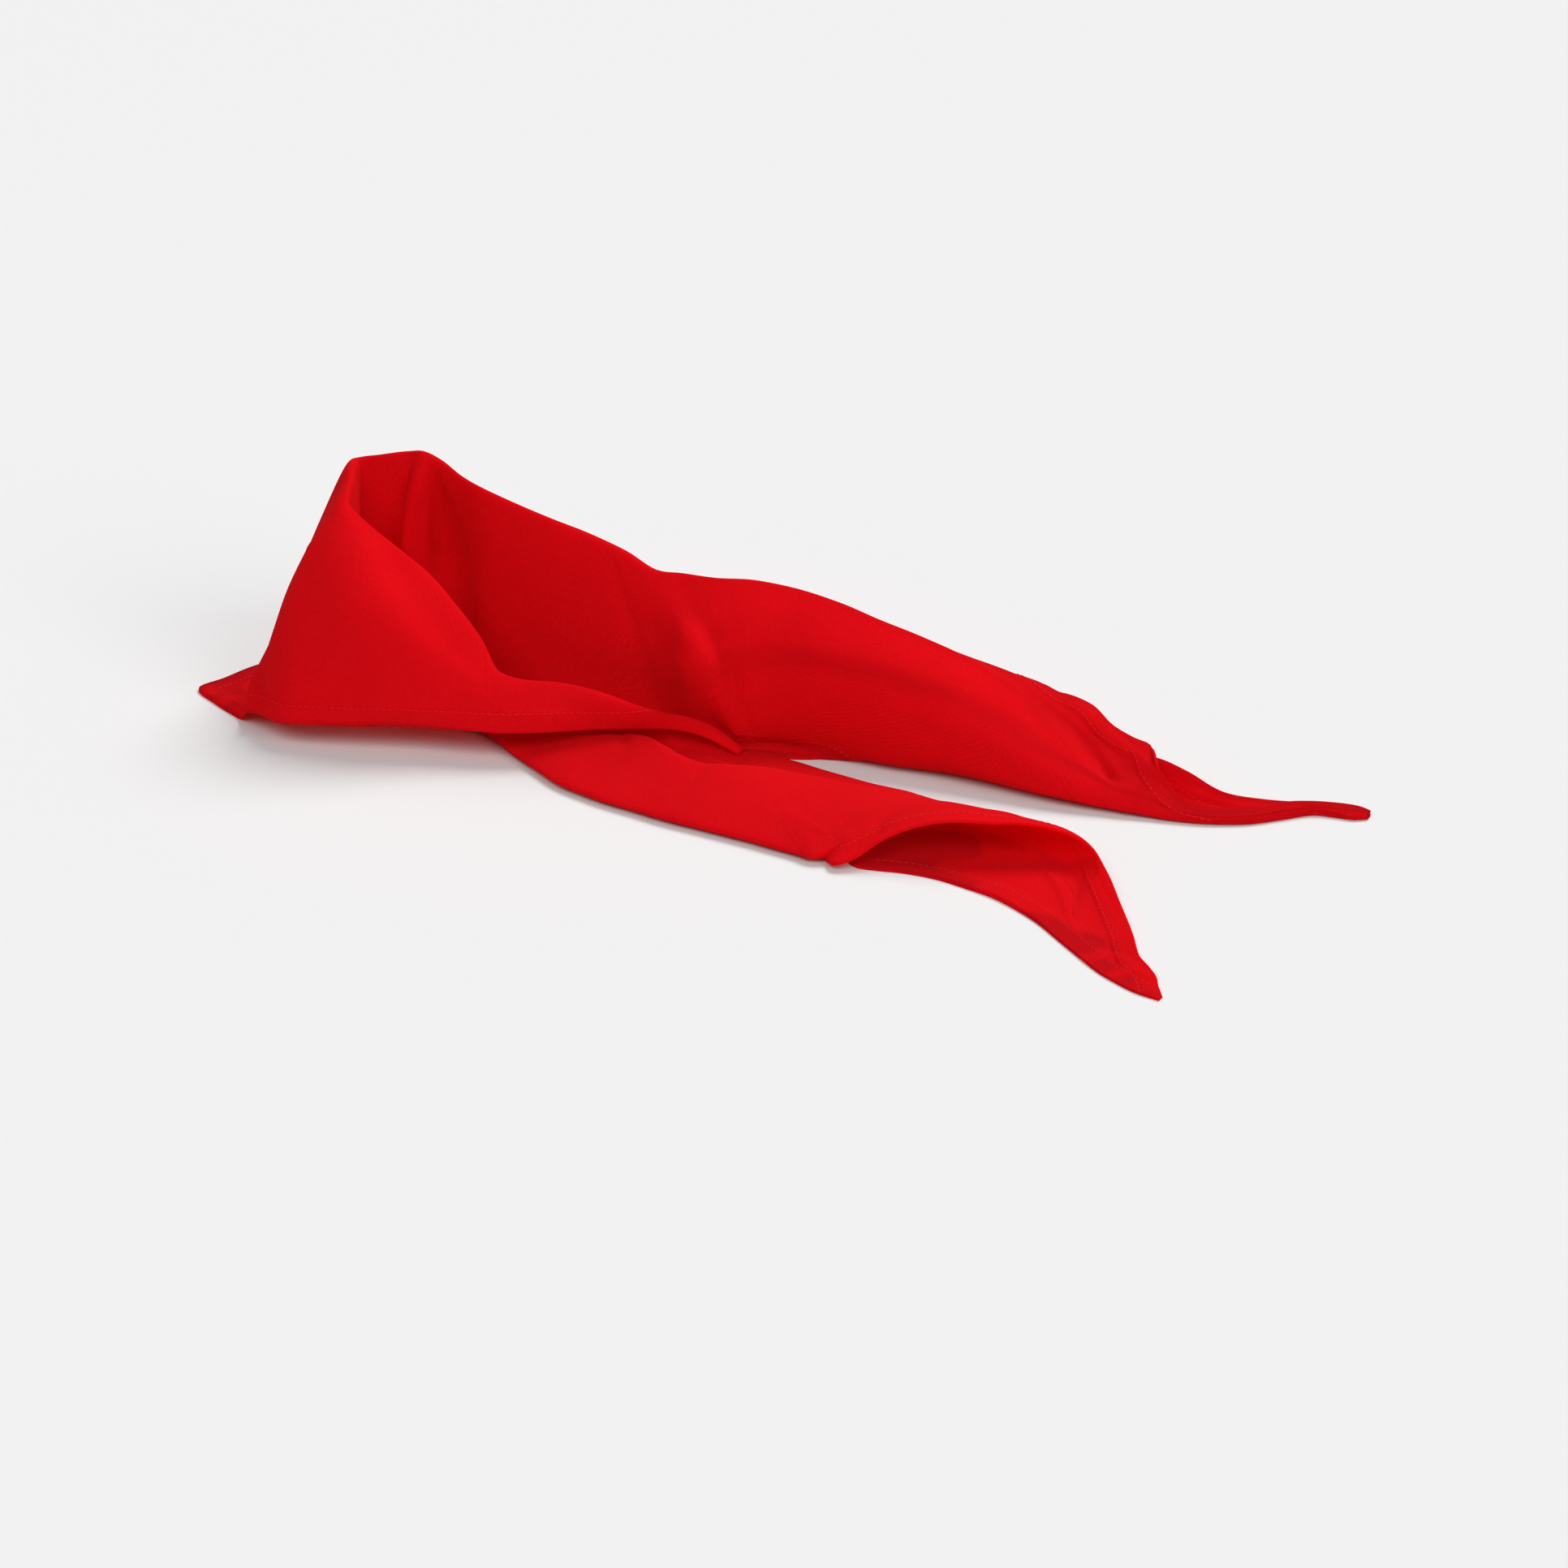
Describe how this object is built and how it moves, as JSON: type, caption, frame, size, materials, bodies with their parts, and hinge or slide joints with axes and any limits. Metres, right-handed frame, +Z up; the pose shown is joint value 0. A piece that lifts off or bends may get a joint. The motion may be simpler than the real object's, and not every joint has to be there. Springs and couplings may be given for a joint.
{
  "type": "scarf",
  "caption": "Triangular neckerchief lying in its worn shape: a folded standing collar round an open neck hollow, with two loose tails.",
  "frame": {"origin": "on the surface the scarf lies on, under the middle of its bounding box", "axes": "+X from the collar to the tips of the tails, +Z up, -Y the side of the near tail"},
  "size_m": [0.5282, 0.2022, 0.11],
  "materials": {
    "cloth": "plain-woven cotton, matte"
  },
  "bodies": {
    "root": {"scarf": "cloth"}
  },
  "joints": []
}
